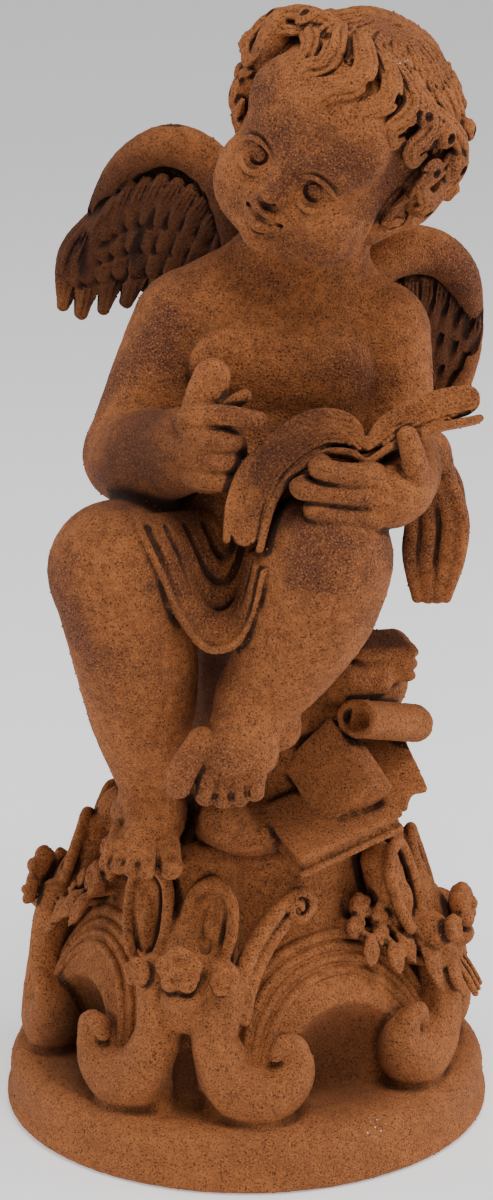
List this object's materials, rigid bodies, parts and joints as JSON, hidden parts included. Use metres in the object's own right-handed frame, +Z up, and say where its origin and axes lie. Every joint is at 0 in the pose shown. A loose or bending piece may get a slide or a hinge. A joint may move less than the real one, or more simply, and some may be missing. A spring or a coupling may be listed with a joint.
{
  "type": "angel statue",
  "caption": "Seated winged child reading an open book on a scrolled pedestal with a round plinth, cast in one piece with a rust-brown granular surface.",
  "frame": {"origin": "centre of the round plinth's flat underside", "axes": "+Z up, the figure faces -Y, +X to the right of someone looking at its front"},
  "size_m": [0.305, 0.305, 0.705],
  "materials": {
    "rusted_cast_stone": "matt, granular, rust-brown with darker raised areas"
  },
  "bodies": {
    "root": {"angel_statue": "rusted_cast_stone"}
  },
  "joints": []
}
